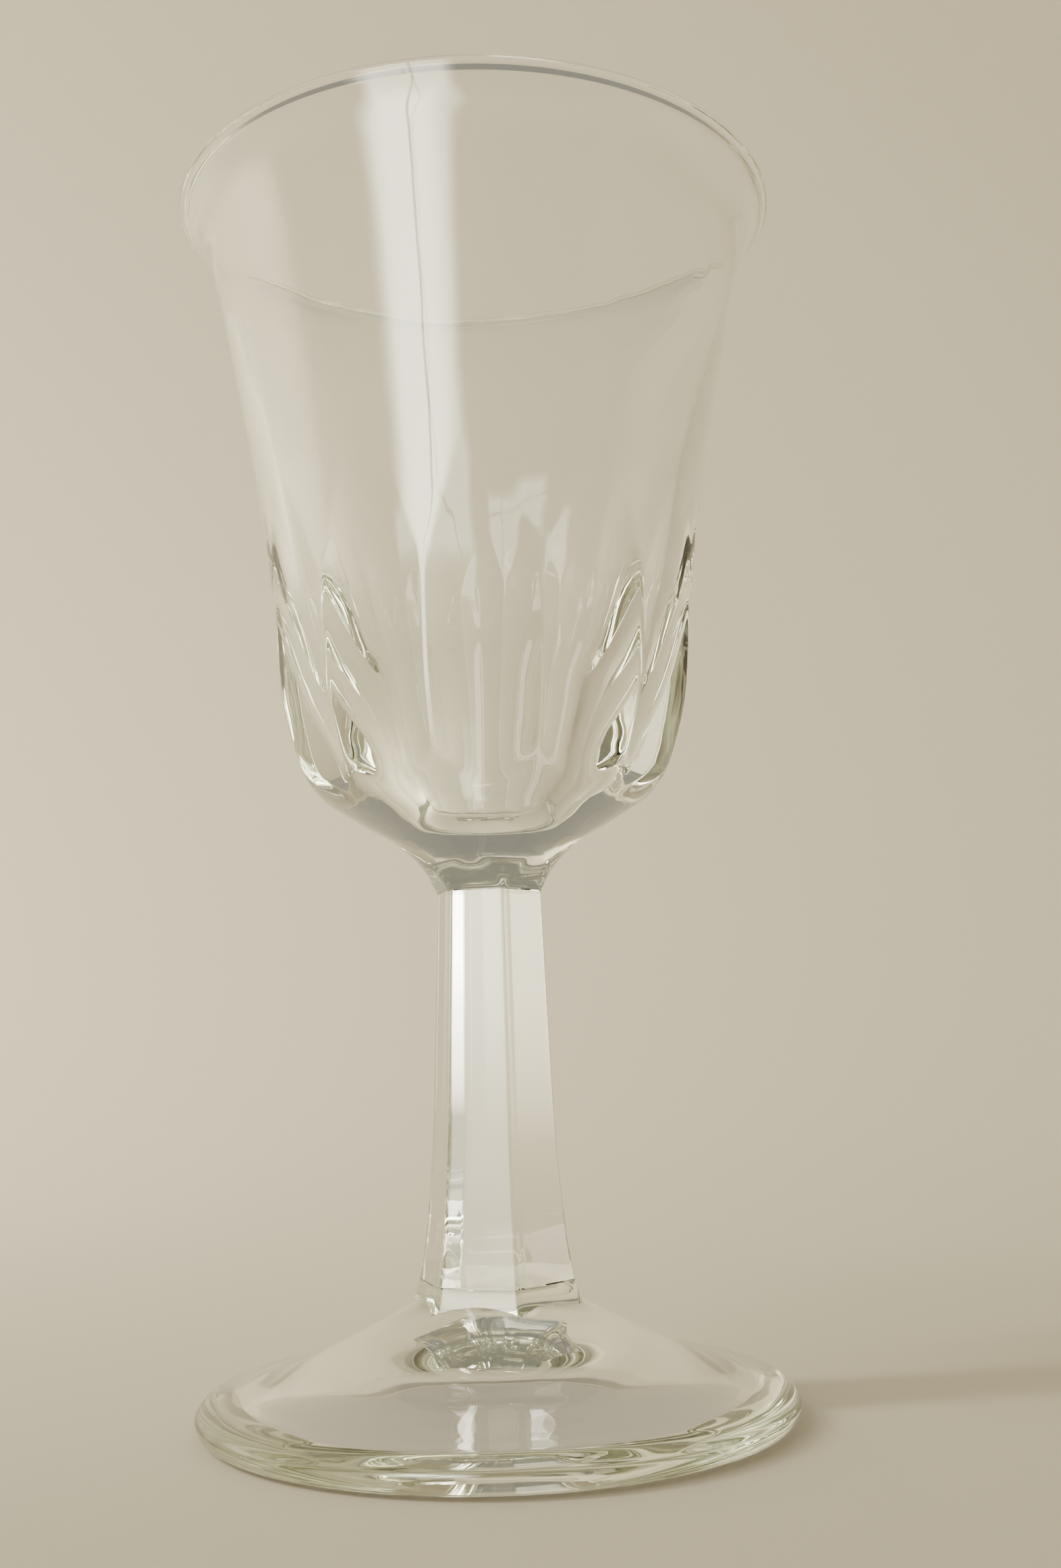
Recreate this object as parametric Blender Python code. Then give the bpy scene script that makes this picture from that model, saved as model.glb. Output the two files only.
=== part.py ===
"""A pressed-glass wine goblet: a panelled bowl, a six-sided stem and a round domed foot.

The glass stands on the origin with its axis along +Z. The bowl, the stem and the foot are pressed one
by one and then fused hot, end face to end face, so each is a solid of its own here.
"""

import math

import bmesh
import bpy

MM = 0.001

HEIGHT = 160.0 * MM
RIM_RADIUS = 40.5 * MM
LIP_THICKNESS = 1.7 * MM
PANEL_COUNT = 12
STEM_SIDES = 6
BOWL_JOINT = 66.0 * MM
FOOT_JOINT = 17.0 * MM
JOINT_GAP = 0.3 * MM

# The flats of the stem are turned so that its edges run into every other ridge of the bowl.
STEM_TURN = math.radians(15)
# Flats stop a little short of meeting, which leaves a narrow round land along every edge.
PANEL_LAND = math.radians(0.5)
STEM_LAND = math.radians(2.0)
# Going up, the panels start to run out into the round body at the first height and end at the second.
PANEL_FADE = (103.0 * MM, 120.0 * MM)
# The round funnel turns into panels between these heights.
PANEL_START = (77.0 * MM, 82.0 * MM)
# The neck is six-sided like the stem at the joint, and round from this height up.
NECK_ROUND = 69.5 * MM
# The foot is round from this radius out, and the boss stands on it inside.
BOSS_REACH = 14.5 * MM

SEGMENTS = 72

# Radius and height, in millimetres, of the points that each outline passes through.
BOWL_OUTSIDE = (
    (7.0, 66.0), (8.3, 68.8), (11.3, 72.0), (17.3, 75.8), (24.0, 80.9), (25.8, 85.5),
    (28.3, 106.0), (30.1, 120.0), (33.2, 137.0), (36.3, 151.6), (37.9, 156.0), (40.5, 159.15),
)
BOWL_INSIDE = (
    (38.8, 159.15), (36.2, 156.0), (34.6, 151.6), (31.0, 139.0), (26.2, 122.0), (21.2, 104.0),
    (16.8, 95.5), (11.5, 88.5), (8.6, 83.5), (6.6, 80.5), (4.0, 79.2), (1.0, 79.0),
)
STEM_EDGE = ((7.0, 66.0), (7.55, 50.0), (8.5, 30.0), (9.6, 20.0), (10.15, 17.0))
BOSS_EDGE = ((10.15, 17.0), (10.7, 15.0), (12.2, 11.5))
FOOT_TOP = (
    (9.5, 14.9), (14.5, 12.2), (20.5, 9.2), (27.0, 6.5), (33.0, 5.0), (36.2, 4.0), (37.5, 2.2),
    (36.7, 0.6), (34.5, 0.0),
)
FOOT_UNDERSIDE = ((31.0, 0.0), (29.5, 0.35), (20.0, 3.4), (14.0, 5.6), (6.0, 7.6), (1.0, 8.2))
# So many spans of FOOT_TOP, from its start to BOSS_REACH, are partly under the boss.
BOSS_SPANS = 2


def clear_scene():
    for thing in list(bpy.data.objects):
        bpy.data.objects.remove(thing, do_unlink=True)


def part_collection(name):
    collection = bpy.data.collections.new(name)
    bpy.context.scene.collection.children.link(collection)
    return collection


def glass(name, tint):
    material = bpy.data.materials.new(name)
    material.use_nodes = True
    shader = material.node_tree.nodes["Principled BSDF"]
    shader.inputs["Base Color"].default_value = (*tint, 1.0)
    shader.inputs["Roughness"].default_value = 0.03
    shader.inputs["Metallic"].default_value = 0.0
    shader.inputs["IOR"].default_value = 1.52
    shader.inputs["Transmission Weight"].default_value = 1.0
    return material


def slope_at(points, index, axis):
    """How fast one coordinate changes along the outline at a point, from the spans on both sides."""
    rates = []
    for start in (index - 1, index):
        if 0 <= start < len(points) - 1:
            length = math.dist(points[start], points[start + 1])
            rates.append(((points[start + 1][axis] - points[start][axis]) / length, length))
    if len(rates) == 1:
        return rates[0][0]
    (before, before_length), (after, after_length) = rates
    return (before * after_length + after * before_length) / (before_length + after_length)


def smooth_path(outline, steps):
    """The outline in metres as a curve whose direction turns smoothly at each of its points."""
    points = [(radius * MM, height * MM) for radius, height in outline]
    path = [points[0]]
    for index, (start, end) in enumerate(zip(points, points[1:])):
        length = math.dist(start, end)
        for step in range(1, steps + 1):
            t = step / steps
            blend = t * t * (3 - 2 * t)
            leave, arrive = length * t * (1 - t) ** 2, length * t * t * (1 - t)
            path.append(tuple(
                start[axis] * (1 - blend) + end[axis] * blend
                + leave * slope_at(points, index, axis) - arrive * slope_at(points, index + 1, axis)
                for axis in (0, 1)
            ))
    return path


def read_across(path, value, known):
    """The other coordinate of a path where the known one, 0 or 1, has the given value."""
    for start, end in zip(path, path[1:]):
        low, high = sorted((start[known], end[known]))
        if low <= value <= high and high > low:
            share = (value - start[known]) / (end[known] - start[known])
            return start[1 - known] + (end[1 - known] - start[1 - known]) * share
    return path[-1][1 - known]


def progress(value, low, high):
    """How far the value has come from low to high, from 0 to 1."""
    return min(1.0, max(0.0, (value - low) / (high - low)))


def flatted(radius, flat, sides, angle):
    """The reach at one angle of a circle cut by flats, each at the distance flat from the axis."""
    pitch = math.tau / sides
    from_flat = (angle + pitch / 2) % pitch - pitch / 2
    return min(radius, flat / math.cos(from_flat))


def ring(outline_at):
    """One closed row of points, whose reach from the axis and height at an angle are outline_at(angle)."""
    points = []
    for step in range(SEGMENTS):
        angle = math.tau * step / SEGMENTS
        reach, height = outline_at(angle)
        points.append((reach * math.cos(angle), reach * math.sin(angle), height))
    return points


def circle(radius, height):
    return ring(lambda angle: (radius, height))


def hexagon_reach(radius, angle, sharpness=1.0):
    """The reach of a six-sided section, or with less sharpness of one that is closer to a circle."""
    full = radius * math.cos(math.pi / STEM_SIDES - STEM_LAND)
    return flatted(radius, radius + (full - radius) * sharpness, STEM_SIDES, angle - STEM_TURN)


def hexagon(radius, height, sharpness=1.0):
    return ring(lambda angle: (hexagon_reach(radius, angle, sharpness), height))


def panelled(radius, height):
    """A section of the bowl's body, where twelve flats are cut into the circle as deep as they go."""
    full = radius * math.cos(math.pi / PANEL_COUNT - PANEL_LAND)
    start = progress(height, *PANEL_START)
    depth = start * start * (3 - 2 * start) * (1 - progress(height, *PANEL_FADE)) ** 1.5
    flat = radius + (full - radius) * depth
    return ring(lambda angle: (flatted(radius, flat, PANEL_COUNT, angle), height))


def loft(name, rings, material, collection):
    """A closed solid through the rings, with a flat face across the first one and the last one."""
    mesh = bpy.data.meshes.new(name)
    shape = bmesh.new()
    rows = [[shape.verts.new(point) for point in points] for points in rings]
    for low, high in zip(rows, rows[1:]):
        for i in range(SEGMENTS):
            after = (i + 1) % SEGMENTS
            shape.faces.new((low[i], low[after], high[after], high[i]))
    shape.faces.new(rows[0])
    shape.faces.new(rows[-1])
    bmesh.ops.recalc_face_normals(shape, faces=shape.faces)
    shape.to_mesh(mesh)
    shape.free()
    mesh.shade_smooth()
    mesh.set_sharp_from_angle(angle=math.radians(25))
    mesh.materials.append(material)
    part = bpy.data.objects.new(name, mesh)
    collection.objects.link(part)
    return part


def lip_rings(steps=4):
    """The rounded lip, from the outside over the top to the inside."""
    half = LIP_THICKNESS / 2
    turns = [math.pi * step / steps for step in range(1, steps)]
    return [
        circle(RIM_RADIUS - half + half * math.cos(turn), HEIGHT - half + half * math.sin(turn))
        for turn in turns
    ]


def make_bowl(material, collection):
    rings = []
    for radius, height in smooth_path(BOWL_OUTSIDE, 2):
        if height < NECK_ROUND:
            sharpness = 1 - progress(height, BOWL_JOINT, NECK_ROUND)
            rings.append(hexagon(radius, max(height, BOWL_JOINT + JOINT_GAP / 2), sharpness))
        else:
            rings.append(panelled(radius, height))
    rings += lip_rings()
    rings += [circle(radius, height) for radius, height in smooth_path(BOWL_INSIDE, 2)]
    return loft("bowl", rings, material, collection)


def make_stem(material, collection):
    top = BOWL_JOINT - JOINT_GAP / 2
    bottom = FOOT_JOINT + JOINT_GAP / 2
    outline = smooth_path(STEM_EDGE, 2)
    rings = [hexagon(radius, min(top, max(bottom, height))) for radius, height in outline]
    return loft("stem", rings, material, collection)


def boss_meets_dome(flank, dome, angle, rounds=12):
    """The reach and height at one angle of the line where the boss's flank runs into the dome."""
    height = dome[0][1]
    for _ in range(rounds):
        reach = hexagon_reach(read_across(flank, height, 1), angle)
        height = read_across(dome, reach, 0)
    return reach, height


def boss_ring(flank, dome, share):
    """A ring on the boss's flank, the given share of the way down from its top to the dome."""
    top = FOOT_JOINT - JOINT_GAP / 2

    def outline_at(angle):
        height = top + (boss_meets_dome(flank, dome, angle)[1] - top) * share
        return hexagon_reach(read_across(flank, height, 1), angle), height

    return ring(outline_at)


def dome_ring(flank, dome, share):
    """A ring on the dome, the given share of the way out from the boss to where all is round."""
    def outline_at(angle):
        inner = boss_meets_dome(flank, dome, angle)[0]
        reach = inner + (BOSS_REACH - inner) * share
        return reach, read_across(dome, reach, 0)

    return ring(outline_at)


def make_foot(material, collection):
    flank = smooth_path(BOSS_EDGE, 6)
    fine, coarse = 8, 2
    dome = smooth_path(FOOT_TOP, fine)[:BOSS_SPANS * fine + 1]
    rings = [boss_ring(flank, dome, share) for share in (0.0, 0.5, 1.0)]
    rings += [dome_ring(flank, dome, share) for share in (0.5, 1.0)]
    beyond_boss = smooth_path(FOOT_TOP, coarse)[BOSS_SPANS * coarse + 1:]
    rings += [circle(radius, height) for radius, height in beyond_boss]
    rings += [circle(radius, height) for radius, height in smooth_path(FOOT_UNDERSIDE, coarse)]
    return loft("foot", rings, material, collection)


def main():
    clear_scene()
    collection = part_collection("wine_glass")
    make_bowl(glass("bowl_glass", (0.93, 0.95, 0.92)), collection)
    make_stem(glass("stem_glass", (0.91, 0.94, 0.90)), collection)
    make_foot(glass("foot_glass", (0.90, 0.93, 0.88)), collection)


main()
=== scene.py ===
"""The looks of a pressed-glass wine goblet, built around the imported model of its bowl, stem and foot.

The bowl, the stem and the foot are fused hot on the real glass. Each one is a finely lofted closed mesh
here, in metres, and reaches a hair into the next one at the fused joints.
"""

import math
import random

import bpy
import numpy as np
from mathutils import Matrix, Vector


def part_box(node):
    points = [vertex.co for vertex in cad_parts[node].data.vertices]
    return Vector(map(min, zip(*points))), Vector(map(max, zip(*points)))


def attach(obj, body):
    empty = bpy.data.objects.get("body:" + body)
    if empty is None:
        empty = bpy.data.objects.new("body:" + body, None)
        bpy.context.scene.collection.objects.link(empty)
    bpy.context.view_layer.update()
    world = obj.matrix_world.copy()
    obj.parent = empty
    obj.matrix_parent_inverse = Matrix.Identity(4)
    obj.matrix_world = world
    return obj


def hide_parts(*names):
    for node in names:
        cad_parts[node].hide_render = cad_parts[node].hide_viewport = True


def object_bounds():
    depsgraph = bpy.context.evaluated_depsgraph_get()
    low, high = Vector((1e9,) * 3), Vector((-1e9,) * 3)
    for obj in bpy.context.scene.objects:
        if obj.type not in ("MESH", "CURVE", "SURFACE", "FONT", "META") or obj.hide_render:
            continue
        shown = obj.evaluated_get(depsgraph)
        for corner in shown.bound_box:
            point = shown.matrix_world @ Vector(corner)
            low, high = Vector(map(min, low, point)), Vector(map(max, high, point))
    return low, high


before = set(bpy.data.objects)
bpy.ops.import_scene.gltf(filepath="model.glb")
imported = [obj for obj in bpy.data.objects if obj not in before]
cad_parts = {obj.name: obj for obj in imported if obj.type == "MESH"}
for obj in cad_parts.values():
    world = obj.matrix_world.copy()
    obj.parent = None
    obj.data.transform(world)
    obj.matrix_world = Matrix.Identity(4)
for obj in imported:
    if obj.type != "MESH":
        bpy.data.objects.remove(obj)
cad_low, cad_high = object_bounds()

MM = 0.001

# The glass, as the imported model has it.
HEIGHT = cad_high.z
RIM_RADIUS = cad_high.x
LIP_THICKNESS = 1.7 * MM
PANEL_COUNT = 12
STEM_SIDES = 6
STEM_TURN = math.radians(15)
PANEL_LAND = math.radians(0.5)
STEM_LAND = math.radians(2.0)
PANEL_FADE = (103.0 * MM, 120.0 * MM)
PANEL_START = (77.0 * MM, 82.0 * MM)
NECK_ROUND = 69.5 * MM
BOSS_REACH = 14.5 * MM
BOWL_JOINT = (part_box("bowl")[0].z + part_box("stem")[1].z) / 2
FOOT_JOINT = (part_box("stem")[0].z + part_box("foot")[1].z) / 2
# How far each fused piece reaches into the next one, so that no air is left between them.
FUSE = 0.1 * MM

# How far the edges between two flats are rounded.
PANEL_ROUNDING = 0.06 * MM
NECK_ROUNDING = 0.25 * MM
STEM_ROUNDING = 0.2 * MM
# How uneven the fire-polished glass is: its two surfaces, and the height of the inner edge of the lip.
OUTSIDE_RIPPLE = 0.02 * MM
INSIDE_RIPPLE = 0.04 * MM
LIP_WAVER = 0.4 * MM
# The lip wavers between these heights, and most from the second to the third.
WAVER_HEIGHTS = (150.0 * MM, 156.0 * MM, 157.0 * MM, 158.5 * MM)
# The ripples die away towards the rim, the bottom of the cavity and the neck, over these heights.
CALM_RIM = (HEIGHT, HEIGHT - 8.0 * MM)
CALM_CAVITY = (79.0 * MM, 90.0 * MM)
CALM_NECK = (BOWL_JOINT + 2.0 * MM, 80.0 * MM)
# No ripple is shorter than this along the height of the glass.
SHORTEST_RIPPLE = 14.0 * MM
# Faces that meet at more than this keep a crisp edge.
CRISP_ANGLE = math.radians(40)

# Radius and height, in millimetres, of the points that each outline passes through.
BOWL_OUTSIDE = (
    (7.0, 66.0), (8.3, 68.8), (11.3, 72.0), (17.3, 75.8), (24.0, 80.9), (25.8, 85.5),
    (28.3, 106.0), (30.1, 120.0), (33.2, 137.0), (36.3, 151.6), (37.9, 156.0), (40.5, 159.15),
)
BOWL_INSIDE = (
    (38.8, 159.15), (36.2, 156.0), (34.6, 151.6), (31.0, 139.0), (26.2, 122.0), (21.2, 104.0),
    (16.8, 95.5), (11.5, 88.5), (8.6, 83.5), (6.6, 80.5), (4.0, 79.2), (1.0, 79.0),
)
STEM_EDGE = ((7.0, 66.0), (7.55, 50.0), (8.5, 30.0), (9.6, 20.0), (10.15, 17.0))
BOSS_EDGE = ((10.15, 17.0), (10.7, 15.0), (12.2, 11.5))
FOOT_TOP = (
    (9.5, 14.9), (14.5, 12.2), (20.5, 9.2), (27.0, 6.5), (33.0, 5.0), (36.2, 4.0), (37.5, 2.2),
    (36.7, 0.6), (34.5, 0.0),
)
FOOT_UNDERSIDE = ((31.0, 0.0), (29.5, 0.35), (20.0, 3.4), (14.0, 5.6), (6.0, 7.6), (1.0, 8.2))
# So many spans of FOOT_TOP, from its start to BOSS_REACH, are partly under the boss.
BOSS_SPANS = 2

REFRACTION = 1.52
# The tint of the light that gets through, and how strongly the glass absorbs the rest, per metre.
CLEAR_GLASS = ((0.64, 0.72, 0.47), 5)
# The foot gets a copy of the same glass that is tinted darker and absorbs more strongly: painted shade along
# the foot's edge.
FOOT_GLASS_PAINTED_SHADE = ((0.57, 0.64, 0.45), 11)

WARM_WHITE = (1.0, 0.945, 0.77)
PAPER_COLOUR = (0.62, 0.58, 0.48)
# The light that comes through the glass onto the floor and back, under the foot.
PAD_COLOUR = (1.0, 0.87, 0.61)
# The floor's top lies this far under the foot.
FLOOR_GAP = 0.1 * MM

# The camera stands level with the stem, near the glass, and looks a little up.
CAMERA_DISTANCE = 213.9 * MM
CAMERA_HEIGHT = 47.3 * MM
CAMERA_PITCH = math.radians(8.78)
CAMERA_YAW = math.radians(1.56)
CAMERA_ROLL = math.radians(-1.42)
CAMERA_LENS = 37.4


# Outlines

def slope_at(points, index, axis):
    """How fast one coordinate changes along the outline at a point, from the spans on both sides."""
    rates = []
    for start in (index - 1, index):
        if 0 <= start < len(points) - 1:
            length = math.dist(points[start], points[start + 1])
            rates.append(((points[start + 1][axis] - points[start][axis]) / length, length))
    if len(rates) == 1:
        return rates[0][0]
    (before, before_length), (after, after_length) = rates
    return (before * after_length + after * before_length) / (before_length + after_length)


def smooth_path(outline, steps):
    """The outline in metres as a curve whose direction turns smoothly at each of its points."""
    points = [(radius * MM, height * MM) for radius, height in outline]
    path = [points[0]]
    for index, (start, end) in enumerate(zip(points, points[1:])):
        length = math.dist(start, end)
        for step in range(1, steps + 1):
            t = step / steps
            blend = t * t * (3 - 2 * t)
            leave, arrive = length * t * (1 - t) ** 2, length * t * t * (1 - t)
            path.append(tuple(
                start[axis] * (1 - blend) + end[axis] * blend
                + leave * slope_at(points, index, axis) - arrive * slope_at(points, index + 1, axis)
                for axis in (0, 1)
            ))
    return path


def across(path, known, values):
    """The other coordinate of a path where the known one, 0 or 1, has the given values."""
    ordered = sorted((point[known], point[1 - known]) for point in path)
    return np.interp(values, [first for first, _ in ordered], [second for _, second in ordered])


def progress(value, low, high):
    return min(1.0, max(0.0, (value - low) / (high - low)))


# Sections

def crowded_angles(sides, first_ridge, per_side, crowding=0.9):
    """Angles all round, closer together near the ridges between the flats."""
    shares = np.arange(per_side) / per_side
    shares = shares - crowding / math.tau * np.sin(math.tau * shares)
    turns = np.add.outer(np.arange(sides), shares).ravel() / sides
    return first_ridge + math.tau * turns


def smooth_min(first, second, width):
    """The lesser of the two, with the corner between them rounded over the given width."""
    share = np.clip(0.5 + 0.5 * (second - first) / width, 0, 1)
    return second + (first - second) * share - width * share * (1 - share)


def flatted(radius, flat, sides, angles, rounding):
    """The reach all round of a circle cut by flats, each at the distance flat from the axis."""
    pitch = math.tau / sides
    from_flat = (angles + pitch / 2) % pitch - pitch / 2
    return smooth_min(radius, flat / np.cos(from_flat), rounding)


def row(angles, reach, height):
    reach = np.broadcast_to(reach, angles.shape)
    height = np.broadcast_to(height, angles.shape)
    return np.stack([reach * np.cos(angles), reach * np.sin(angles), height], axis=1)


def ripples(seed, modes=9):
    """A slow unevenness of a hot-worked surface: a function of angles and height, from about -1 to 1."""
    draw = random.Random(seed)
    waves = [
        (draw.choice((1, 2, 3, 4, 5, 6, 8)), draw.uniform(-1, 1) * math.tau / SHORTEST_RIPPLE,
         draw.uniform(0, math.tau))
        for _ in range(modes)
    ]

    def at(angles, height):
        total = sum(np.sin(turns * angles + rise * height + phase) for turns, rise, phase in waves)
        return total / math.sqrt(modes)

    return at


def loft(name, rows):
    """A closed smooth mesh through the rows of points, with a face across the first and the last one."""
    count = len(rows[0])
    points = np.concatenate(rows)
    start = np.arange(len(rows) - 1)[:, None] * count
    here = np.arange(count)[None, :]
    after = (here + 1) % count
    quads = np.stack([start + here, start + after, start + count + after, start + count + here], axis=2)
    faces = quads.reshape(-1, 4).tolist()
    faces.append(list(range(count))[::-1])
    faces.append(list(range(len(points) - count, len(points))))
    mesh = bpy.data.meshes.new(name)
    mesh.from_pydata(points.tolist(), [], faces)
    mesh.update()
    mesh.shade_smooth()
    mesh.set_sharp_from_angle(angle=CRISP_ANGLE)
    piece = bpy.data.objects.new(name, mesh)
    bpy.context.scene.collection.objects.link(piece)
    return piece


# The three pieces

def bowl_outside(angles):
    uneven = ripples(3)
    rows = []
    for radius, height in smooth_path(BOWL_OUTSIDE, 9):
        if height < NECK_ROUND:
            full = radius * math.cos(math.pi / STEM_SIDES - STEM_LAND)
            flat = radius + (full - radius) * (1 - progress(height, BOWL_JOINT, NECK_ROUND))
            reach = flatted(radius, flat, STEM_SIDES, angles - STEM_TURN, NECK_ROUNDING)
        else:
            full = radius * math.cos(math.pi / PANEL_COUNT - PANEL_LAND)
            start = progress(height, *PANEL_START)
            depth = start * start * (3 - 2 * start) * (1 - progress(height, *PANEL_FADE)) ** 1.5
            flat = radius + (full - radius) * depth
            reach = flatted(radius, flat, PANEL_COUNT, angles, PANEL_ROUNDING)
        calm = progress(height, *CALM_NECK) * progress(height, *CALM_RIM)
        reach = reach + uneven(angles, height) * OUTSIDE_RIPPLE * calm
        rows.append(row(angles, reach, height))
    rows[0][:, 2] = BOWL_JOINT - FUSE
    return rows


def bowl_lip(angles, steps=14):
    half = LIP_THICKNESS / 2
    rows = []
    for step in range(1, steps):
        turn = math.pi * step / steps
        reach, height = RIM_RADIUS - half + half * math.cos(turn), HEIGHT - half + half * math.sin(turn)
        rows.append(row(angles, reach, height))
    return rows


def bowl_inside(angles):
    uneven = ripples(8)
    rows = []
    for radius, height in smooth_path(BOWL_INSIDE, 9):
        calm = progress(height, *CALM_CAVITY) * progress(height, *CALM_RIM)
        rise, full_rise, full_fall, fall = WAVER_HEIGHTS
        near_lip = progress(height, rise, full_rise) * progress(height, fall, full_fall)
        level = height + uneven(angles, 0) * LIP_WAVER * near_lip
        rows.append(row(angles, radius + uneven(angles, height) * INSIDE_RIPPLE * calm, level))
    return rows


def make_bowl():
    angles = crowded_angles(PANEL_COUNT, math.pi / PANEL_COUNT, 36)
    return loft("bowl_glass_body", bowl_outside(angles) + bowl_lip(angles) + bowl_inside(angles))


def hexagon_reach(angles, radius):
    full = radius * math.cos(math.pi / STEM_SIDES - STEM_LAND)
    return flatted(radius, full, STEM_SIDES, angles - STEM_TURN, STEM_ROUNDING)


def make_stem():
    angles = crowded_angles(STEM_SIDES, STEM_TURN + math.pi / STEM_SIDES, 26)
    path = smooth_path(STEM_EDGE, 12)
    rows = [row(angles, hexagon_reach(angles, radius), height) for radius, height in path]
    rows[0][:, 2] = BOWL_JOINT + FUSE
    rows[-1][:, 2] = FOOT_JOINT - FUSE
    return loft("stem_glass_body", rows[::-1])


def make_foot():
    angles = crowded_angles(STEM_SIDES, STEM_TURN + math.pi / STEM_SIDES, 40, crowding=0.6)
    flank = smooth_path(BOSS_EDGE, 10)
    steps = 9
    outline = smooth_path(FOOT_TOP, steps)
    dome = outline[:BOSS_SPANS * steps + 1]
    height = np.full(len(angles), dome[0][1])
    for _ in range(12):
        reach = hexagon_reach(angles, across(flank, 1, height))
        height = across(dome, 0, reach)
    top = FOOT_JOINT + FUSE
    rows = []
    for share in np.linspace(0, 1, 8):
        level = top + (height - top) * share
        rows.append(row(angles, hexagon_reach(angles, across(flank, 1, level)), level))
    for share in np.linspace(0.125, 1, 8):
        out = reach + (BOSS_REACH - reach) * share
        rows.append(row(angles, out, across(dome, 0, out)))
    rows += [row(angles, radius, level) for radius, level in outline[BOSS_SPANS * steps + 1:]]
    rows += [row(angles, radius, level) for radius, level in smooth_path(FOOT_UNDERSIDE, 9)]
    return loft("foot_glass_body", rows[::-1])


# Materials

def glass(name, tint, density):
    """Clear glass that tints the light on its way, with a faint unevenness in its polish."""
    material = bpy.data.materials.new(name)
    material.use_nodes = True
    nodes, links = material.node_tree.nodes, material.node_tree.links
    shader = nodes["Principled BSDF"]
    shader.inputs["Base Color"].default_value = (1.0, 1.0, 1.0, 1.0)
    shader.inputs["IOR"].default_value = REFRACTION
    shader.inputs["Transmission Weight"].default_value = 1.0
    place = nodes.new("ShaderNodeTexCoord")
    smudge = nodes.new("ShaderNodeTexNoise")
    smudge.inputs["Scale"].default_value = 60.0
    smudge.inputs["Detail"].default_value = 3.0
    spread = nodes.new("ShaderNodeMapRange")
    spread.inputs["To Min"].default_value = 0.0
    spread.inputs["To Max"].default_value = 0.02
    links.new(place.outputs["Object"], smudge.inputs["Vector"])
    links.new(smudge.outputs["Fac"], spread.inputs["Value"])
    links.new(spread.outputs["Result"], shader.inputs["Roughness"])
    swell = nodes.new("ShaderNodeBump")
    swell.inputs["Strength"].default_value = 0.3
    swell.inputs["Distance"].default_value = 0.1 * MM
    links.new(smudge.outputs["Fac"], swell.inputs["Height"])
    links.new(swell.outputs["Normal"], shader.inputs["Normal"])
    volume = nodes.new("ShaderNodeVolumeAbsorption")
    volume.inputs["Color"].default_value = (*tint, 1.0)
    volume.inputs["Density"].default_value = density
    links.new(volume.outputs["Volume"], nodes["Material Output"].inputs["Volume"])
    return material


def paper(name, colour):
    material = bpy.data.materials.new(name)
    material.use_nodes = True
    shader = material.node_tree.nodes["Principled BSDF"]
    shader.inputs["Base Color"].default_value = (*colour, 1.0)
    shader.inputs["Roughness"].default_value = 0.9
    shader.inputs["Specular IOR Level"].default_value = 0.1
    return material


# The stage

def make_cove(radius=1.6, bend=1.3, height=1.7, steps=48, sides=96):
    """A round floor that curves up into a wall all round, so that no edge shows from any side."""
    path = [(radius - bend, 0.0)]
    for step in range(1, steps + 1):
        turn = math.pi / 2 * step / steps
        path.append((radius - bend + bend * math.sin(turn), bend - bend * math.cos(turn)))
    path.append((radius, height))
    angles = math.tau * np.arange(sides) / sides
    rows = [row(angles, reach, level - FLOOR_GAP) for reach, level in path]
    faces = [list(range(sides))]
    for start in range(0, (len(rows) - 1) * sides, sides):
        for here in range(sides):
            after = (here + 1) % sides
            faces.append([start + here, start + sides + here, start + sides + after, start + after])
    mesh = bpy.data.meshes.new("cove")
    mesh.from_pydata(np.concatenate(rows).tolist(), [], faces)
    mesh.shade_smooth()
    mesh.materials.append(paper("cove_paper", PAPER_COLOUR))
    cove = bpy.data.objects.new("cove", mesh)
    bpy.context.scene.collection.objects.link(cove)


def aim(thing, target):
    thing.rotation_mode = "QUATERNION"
    thing.rotation_quaternion = (Vector(target) - thing.location).to_track_quat("-Z", "Y")


def around(azimuth, elevation, distance, centre=(0, 0, HEIGHT / 2)):
    """A place at a distance from the glass. Azimuth 0 is the camera's side and 90 is towards +X."""
    turn, rise = math.radians(azimuth), math.radians(elevation)
    away = Vector((math.sin(turn) * math.cos(rise), -math.cos(turn) * math.cos(rise), math.sin(rise)))
    return Vector(centre) + distance * away


def softbox(name, place, target, size, power):
    """A square area light that lights the cove and casts the shadows, and that nothing shows."""
    data = bpy.data.lights.new(name, "AREA")
    data.size = size
    data.energy = power
    data.color = WARM_WHITE
    light = bpy.data.objects.new(name, data)
    bpy.context.scene.collection.objects.link(light)
    light.location = place
    aim(light, target)
    light.visible_camera = light.visible_glossy = light.visible_transmission = False


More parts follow.
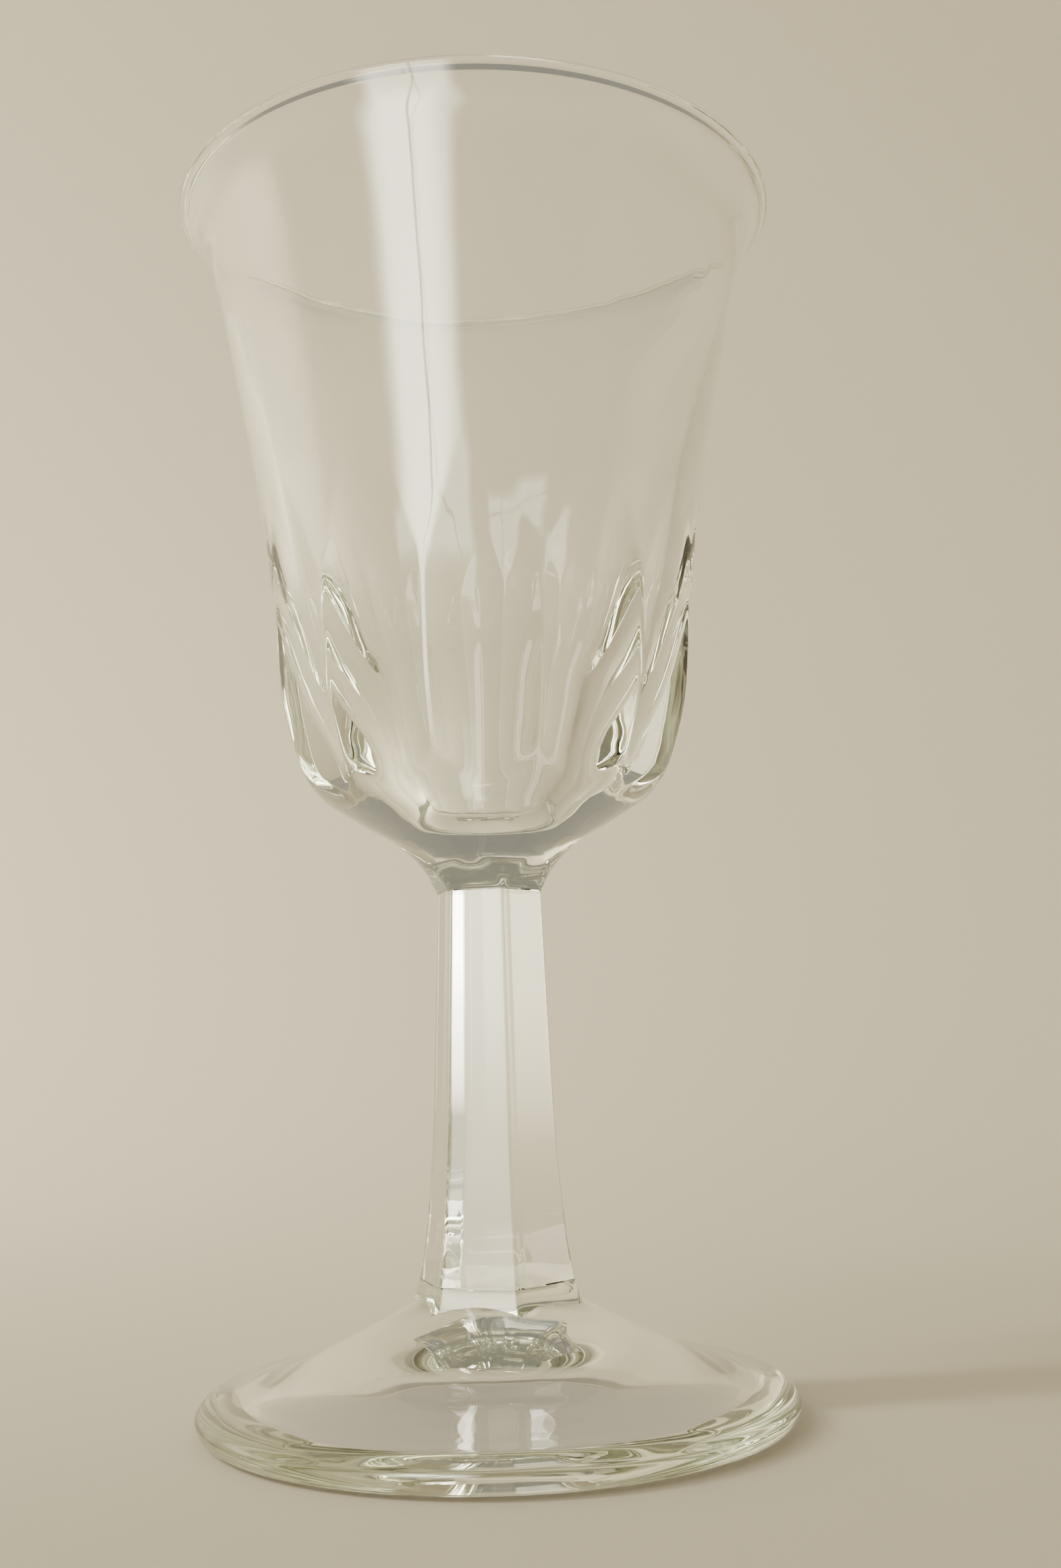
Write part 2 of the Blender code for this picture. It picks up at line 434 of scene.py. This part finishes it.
def card(name, azimuths, heights, distances, strength, soft=0.0, colour=WARM_WHITE):
    """A curved sheet that only shows in the glass: a bright or a dim part of the room.

    It runs from the first height and distance to the second. It fades out towards its edges over the soft
    share of its width and height, and over half of that share at the first height.
    """
    steps = 24
    points, glows, faces = [], [], []
    for across_share in np.linspace(0, 1, steps + 1).tolist():
        azimuth = azimuths[0] + (azimuths[1] - azimuths[0]) * across_share
        for up_share in np.linspace(0, 1, steps + 1).tolist():
            height = heights[0] + (heights[1] - heights[0]) * up_share
            distance = distances[0] + (distances[1] - distances[0]) * up_share
            points.append(around(azimuth, 0, distance, centre=(0, 0, height)))
            inside = min(across_share, 1 - across_share, up_share * 2, 1 - up_share)
            glow = min(1.0, inside / soft) if soft else 1.0
            glows.append(glow * glow * (3 - 2 * glow))
    for corner in range(steps * (steps + 1)):
        if corner % (steps + 1) != steps:
            faces.append([corner, corner + steps + 1, corner + steps + 2, corner + 1])
    mesh = bpy.data.meshes.new(name)
    mesh.from_pydata(points, [], faces)
    mesh.attributes.new("glow", "FLOAT", "POINT").data.foreach_set("value", glows)
    material = bpy.data.materials.new(name)
    material.use_nodes = True
    nodes, links = material.node_tree.nodes, material.node_tree.links
    light = nodes.new("ShaderNodeEmission")
    light.inputs["Color"].default_value = (*colour, 1.0)
    light.inputs["Strength"].default_value = strength
    amount = nodes.new("ShaderNodeAttribute")
    amount.attribute_name = "glow"
    clear = nodes.new("ShaderNodeBsdfTransparent")
    faded = nodes.new("ShaderNodeMixShader")
    links.new(amount.outputs["Fac"], faded.inputs["Fac"])
    links.new(clear.outputs["BSDF"], faded.inputs[1])
    links.new(light.outputs["Emission"], faded.inputs[2])
    links.new(faded.outputs["Shader"], nodes["Material Output"].inputs["Surface"])
    mesh.materials.append(material)
    sheet = bpy.data.objects.new(name, mesh)
    bpy.context.scene.collection.objects.link(sheet)
    sheet.visible_camera = sheet.visible_diffuse = sheet.visible_shadow = False


def make_lights():
    world = bpy.data.worlds.new("room")
    world.use_nodes = True
    sky = world.node_tree.nodes["Background"]
    sky.inputs["Color"].default_value = (*WARM_WHITE, 1.0)
    sky.inputs["Strength"].default_value = 0.64
    bpy.context.scene.world = world
    softbox("wall_light", around(-80, 35, 1.0), (-0.8, 1.0, 0.6), 0.5, 37)
    softbox("key_light", around(-45, 45, 1.1), (0, 0, 0), 0.7, 3.5)
    # Only the glass shows the rest: a bright window with a bar, the dimmer parts of a room, and the lit floor
    # in the hollow under the foot.
    card("window", (-43, -5), (0.001, 0.5), (0.10, 0.6), 28.0, soft=0.35)
    card("window_bar", (-22.6, -21.6), (0.001, 0.5), (0.099, 0.599), 2.5)
    card("dim_room", (-2, 60), (0.001, 0.55), (0.5, 0.5), 0.25, soft=0.3)
    card("dim_ceiling", (-180, 180), (0.62, 0.75), (0.55, 0.02), 0.3)
    hollow, between = FOOT_UNDERSIDE[0][0] * MM, -FLOOR_GAP / 2
    card("light_pad", (-180, 180), (between, between), (hollow, 0.0), 0.5, colour=PAD_COLOUR)


def make_camera():
    data = bpy.data.cameras.new("camera")
    data.sensor_width = 36.0
    data.lens = CAMERA_LENS
    data.clip_start = 0.01
    camera = bpy.data.objects.new("camera", data)
    bpy.context.scene.collection.objects.link(camera)
    bpy.context.scene.camera = camera
    turn, rise, roll = CAMERA_YAW, CAMERA_PITCH, CAMERA_ROLL
    forward = Vector((math.cos(rise) * math.sin(turn), math.cos(rise) * math.cos(turn), math.sin(rise)))
    level = Vector((math.cos(turn), -math.sin(turn), 0))
    upward = level.cross(forward)
    right = math.cos(roll) * level + math.sin(roll) * upward
    above = math.cos(roll) * upward - math.sin(roll) * level
    turned = Matrix((right, above, -forward)).transposed().to_4x4()
    camera.matrix_world = Matrix.Translation((0, -CAMERA_DISTANCE, CAMERA_HEIGHT)) @ turned


def let_light_through(in_glass=24, in_all=32):
    """Inside thick glass the light is thrown back and forth many times before it leaves."""
    cycles = bpy.context.scene.cycles
    cycles.glossy_bounces = cycles.transmission_bounces = in_glass
    cycles.max_bounces = in_all


def finish_piece(piece, node, material):
    piece.data.materials.append(material)
    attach(piece, "root")
    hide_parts(node)


def main():
    finish_piece(make_bowl(), "bowl", glass("bowl_glass", *CLEAR_GLASS))
    finish_piece(make_stem(), "stem", glass("stem_glass", *CLEAR_GLASS))
    finish_piece(make_foot(), "foot", glass("foot_glass", *FOOT_GLASS_PAINTED_SHADE))
    make_cove()
    make_lights()
    make_camera()
    let_light_through()


main()
